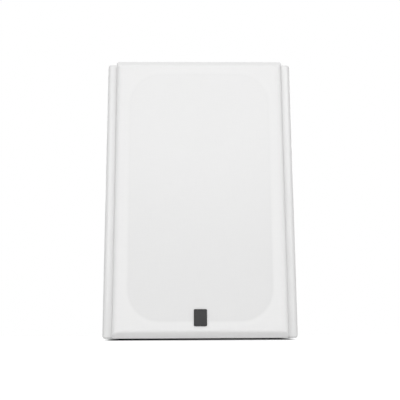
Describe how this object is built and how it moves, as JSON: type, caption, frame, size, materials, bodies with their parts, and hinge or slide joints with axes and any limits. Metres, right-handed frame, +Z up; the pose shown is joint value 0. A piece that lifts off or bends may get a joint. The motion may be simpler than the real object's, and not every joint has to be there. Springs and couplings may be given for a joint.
{
  "type": "box loudspeaker",
  "caption": "Upright white lacquered box loudspeaker with a pull-off cloth grille over woofer and tweeter, rear terminal cup and threaded inserts for a wall or ceiling bracket.",
  "frame": {"origin": "middle of the footprint, on the floor under the feet", "axes": "+Z up, -Y towards the listener (front, grille), +X to the right seen from the front"},
  "size_m": [0.203, 0.2058, 0.3015],
  "materials": {
    "white_lacquer": "white gloss lacquer on fibreboard",
    "fibreboard": "bare fibreboard",
    "felt": "needled wadding",
    "foot_rubber": "matt black",
    "brass": "turned",
    "grille_plastic": "white moulded, fine grain",
    "grille_cloth": "white acoustic cloth, fine weave",
    "badge_metal": "charcoal satin",
    "black_plastic": "black moulded, fine grain",
    "basket_paint": "black powder coat on a die casting",
    "surround_rubber": "satin black",
    "cone_paper": "pressed pulp, coated dark grey",
    "former_aluminium": "rolled foil",
    "copper_wire": "enamelled copper wire",
    "spider_cloth": "resin-dipped cotton",
    "plated_steel": "zinc plated",
    "ferrite": "sintered, matt",
    "gasket_foam": "closed-cell foam",
    "black_steel": "blackened screw steel",
    "tag_board": "brown resin board",
    "tinned_brass": "tinned",
    "dome_cloth": "coated silk",
    "gold_plate": "gold plated, turned",
    "red_plastic": "clear red moulded",
    "cap_black": "black moulded",
    "circuit_board": "green glass-fibre board",
    "bobbin_plastic": "natural nylon",
    "film_wrap": "yellow film wrap",
    "resistor_ceramic": "white cement",
    "lead_insulation": "red and black insulation"
  },
  "bodies": {
    "speaker_box": {"cabinet": "white_lacquer", "front_baffle": "white_lacquer", "window_brace": "fibreboard", "damping_pads": "felt", "rubber_feet": "foot_rubber", "bracket_inserts": "brass", "grille_sockets": "black_plastic", "woofer_basket": "basket_paint", "woofer_surround": "surround_rubber", "woofer_spider": "spider_cloth", "woofer_front_plate": "plated_steel", "woofer_magnet": "ferrite", "woofer_back_plate": "plated_steel", "woofer_gasket": "gasket_foam", "woofer_screws": "black_steel", "woofer_tag_strip": "tag_board", "woofer_tags": "tinned_brass", "tweeter_faceplate": "black_plastic", "tweeter_surround": "dome_cloth", "tweeter_front_plate": "plated_steel", "tweeter_magnet": "ferrite", "tweeter_back_plate": "plated_steel", "tweeter_gasket": "gasket_foam", "tweeter_screws": "black_steel", "tweeter_tag_strip": "tag_board", "tweeter_tags": "tinned_brass", "terminal_cup": "black_plastic", "terminal_gasket": "gasket_foam", "terminal_screws": "black_steel", "positive_post": "gold_plate", "negative_post": "gold_plate", "post_nuts": "plated_steel", "crossover_board": "circuit_board", "crossover_spacers": "bobbin_plastic", "crossover_screws": "plated_steel", "inductor_bobbin": "bobbin_plastic", "inductor_winding": "copper_wire", "tweeter_choke": "copper_wire", "large_capacitor": "film_wrap", "small_capacitor": "film_wrap", "resistor": "resistor_ceramic", "input_leads": "lead_insulation", "woofer_leads": "lead_insulation", "tweeter_leads": "lead_insulation"},
    "grille": {"grille_frame": "grille_plastic", "grille_cloth": "grille_cloth", "badge": "badge_metal"},
    "woofer_piston": {"woofer_cone": "cone_paper", "woofer_dust_cap": "cone_paper", "woofer_coil_former": "former_aluminium", "woofer_voice_coil": "copper_wire"},
    "tweeter_piston": {"tweeter_dome": "dome_cloth", "tweeter_voice_coil": "copper_wire"},
    "positive_thumb_cap": {"positive_cap": "red_plastic"},
    "negative_thumb_cap": {"negative_cap": "cap_black"}
  },
  "joints": [
    {"name": "grille_pull", "type": "slide", "parent": "speaker_box", "child": "grille", "axis": [0, -1, 0], "range_m": [0, 0.05]},
    {"name": "woofer_stroke", "type": "slide", "parent": "speaker_box", "child": "woofer_piston", "axis": [0, -1, 0], "range_m": [-0.003, 0.003], "stiffness_N_per_m": 1000, "deforming": ["woofer_surround", "woofer_spider"]},
    {"name": "tweeter_stroke", "type": "slide", "parent": "speaker_box", "child": "tweeter_piston", "axis": [0, -1, 0], "range_m": [-0.0003, 0.0003], "stiffness_N_per_m": 200, "deforming": ["tweeter_surround"]},
    {"name": "positive_cap_turn", "type": "hinge", "parent": "speaker_box", "child": "positive_thumb_cap", "pos_m": [0.00953, 0.0847, 0.0655], "axis": [0, 1, 0], "range_deg": [0, 1440]},
    {"name": "negative_cap_turn", "type": "hinge", "parent": "speaker_box", "child": "negative_thumb_cap", "pos_m": [-0.00953, 0.0847, 0.0655], "axis": [0, 1, 0], "range_deg": [0, 1440]}
  ]
}
